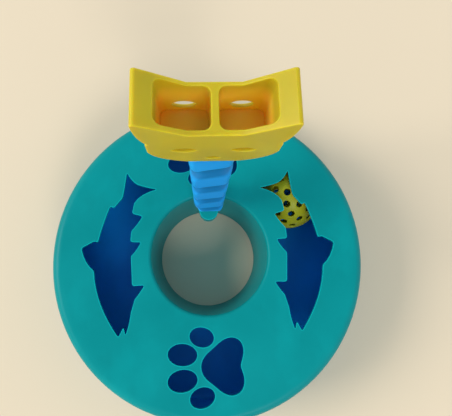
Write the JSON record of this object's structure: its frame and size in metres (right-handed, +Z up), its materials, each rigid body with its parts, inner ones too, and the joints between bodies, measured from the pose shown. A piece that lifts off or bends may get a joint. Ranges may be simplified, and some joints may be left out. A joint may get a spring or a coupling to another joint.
{
  "type": "cat puzzle feeder",
  "caption": "Ring-shaped cat puzzle feeder: a ball track under a cover with fish and paw windows, and a swivelling cat-head kibble hopper on a leaning spiral neck",
  "frame": {"origin": "centre of the ring on the floor that the feet stand on", "axes": "+Z up, +Y from the ring's centre towards the neck and head, +X to the right seen from the front of the head"},
  "size_m": [0.27, 0.27, 0.2779],
  "materials": {
    "cover_teal": "satin moulded",
    "tray_blue": "satin moulded",
    "neck_blue": "satin moulded",
    "head_yellow": "satin moulded",
    "ball_yellow": "satin moulded",
    "steel": "zinc plated",
    "nylon": "matte",
    "rubber": "matte"
  },
  "bodies": {
    "base": {"base_tray": "tray_blue", "foot_1": "rubber", "foot_2": "rubber", "foot_3": "rubber", "foot_4": "rubber", "foot_5": "rubber", "foot_6": "rubber"},
    "cover": {"top_cover": "cover_teal", "spiral_neck": "neck_blue", "neck_bolt": "steel", "neck_washer": "steel", "swivel_pin": "steel", "thrust_washer": "nylon", "snap_ring": "steel"},
    "head": {"head_hopper": "head_yellow", "swivel_bush": "nylon"},
    "ball": {"ball_upper_shell": "ball_yellow", "ball_lower_shell": "ball_yellow"}
  },
  "joints": [
    {"name": "cover_lift", "type": "slide", "parent": "base", "child": "cover", "axis": [0, 0, 1], "range_m": [0, 0.08]},
    {"name": "head_swivel", "type": "hinge", "parent": "cover", "child": "head", "pos_m": [0, 0.07, 0.1979], "axis": [0, 0, 1], "continuous": true},
    {"name": "ball_roll", "type": "hinge", "parent": "base", "child": "ball", "pos_m": [0, 0, 0.038], "axis": [0, 0, 1], "continuous": true}
  ]
}
